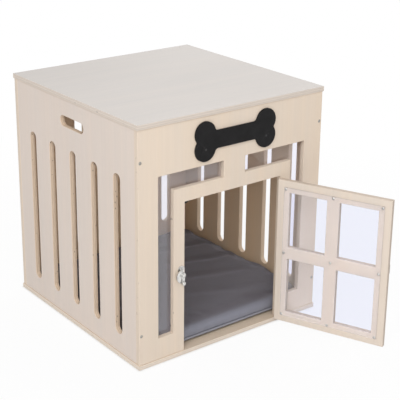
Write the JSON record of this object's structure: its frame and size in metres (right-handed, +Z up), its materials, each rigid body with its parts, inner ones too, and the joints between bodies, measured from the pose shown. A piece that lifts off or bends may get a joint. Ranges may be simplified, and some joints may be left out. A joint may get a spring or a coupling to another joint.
{
  "type": "pet crate",
  "caption": "Square plywood pet crate with slotted walls, a glazed front, an outward swinging glazed door, a turning lock, a bone plaque and a floor cushion.",
  "frame": {"origin": "middle of the base panel's underside, on the floor", "axes": "+Z up; the front with the door faces -Y; +X is the right-hand side seen from the front"},
  "size_m": [0.52, 0.777, 0.56],
  "materials": {
    "plywood": "bare pale poplar plywood, sanded",
    "dowel_wood": "plain beech dowel",
    "black_paint": "matt black",
    "clear_sheet": "clear sheet with a faint blue haze",
    "black_plastic": "black moulded plastic",
    "zinc_screw": "zinc plated",
    "hinge_steel": "nickel plated sheet",
    "nickel": "bright nickel plate",
    "cushion_cloth": "dark grey woven cloth"
  },
  "bodies": {
    "crate": {"base_panel": "plywood", "left_side_panel": "plywood", "right_side_panel": "plywood", "back_panel": "plywood", "front_panel": "plywood", "top_panel": "plywood", "top_dowels": "dowel_wood", "bone_plaque": "black_paint", "plaque_screws": "black_paint", "left_window_sheet": "clear_sheet", "right_window_sheet": "clear_sheet", "door_stop": "black_plastic", "window_sheet_screws": "zinc_screw", "door_stop_screws": "zinc_screw", "front_panel_screws": "zinc_screw", "back_panel_screws": "zinc_screw", "base_screws": "zinc_screw", "hinge_frame_screws": "zinc_screw", "latch_screws": "zinc_screw", "upper_hinge_frame_leaf": "hinge_steel", "lower_hinge_frame_leaf": "hinge_steel", "upper_hinge_pin": "hinge_steel", "lower_hinge_pin": "hinge_steel", "latch_base": "nickel", "latch_rivet": "nickel", "cushion": "cushion_cloth"},
    "door": {"door_frame": "plywood", "door_sheet": "clear_sheet", "door_sheet_screws": "zinc_screw", "upper_hinge_door_leaf": "hinge_steel", "lower_hinge_door_leaf": "hinge_steel", "hinge_door_screws": "zinc_screw", "latch_keeper": "nickel", "keeper_screws": "zinc_screw"},
    "latch": {"latch_crescent": "nickel"}
  },
  "joints": [
    {"name": "door_hinge", "type": "hinge", "parent": "crate", "child": "door", "pos_m": [0.13625, -0.261, 0.188], "axis": [0, 0, 1], "range_deg": [-113, 65]},
    {"name": "latch_turn", "type": "hinge", "parent": "crate", "child": "latch", "pos_m": [-0.1465, -0.2645, 0.199], "axis": [0, 1, 0], "range_deg": [0, 180]}
  ]
}
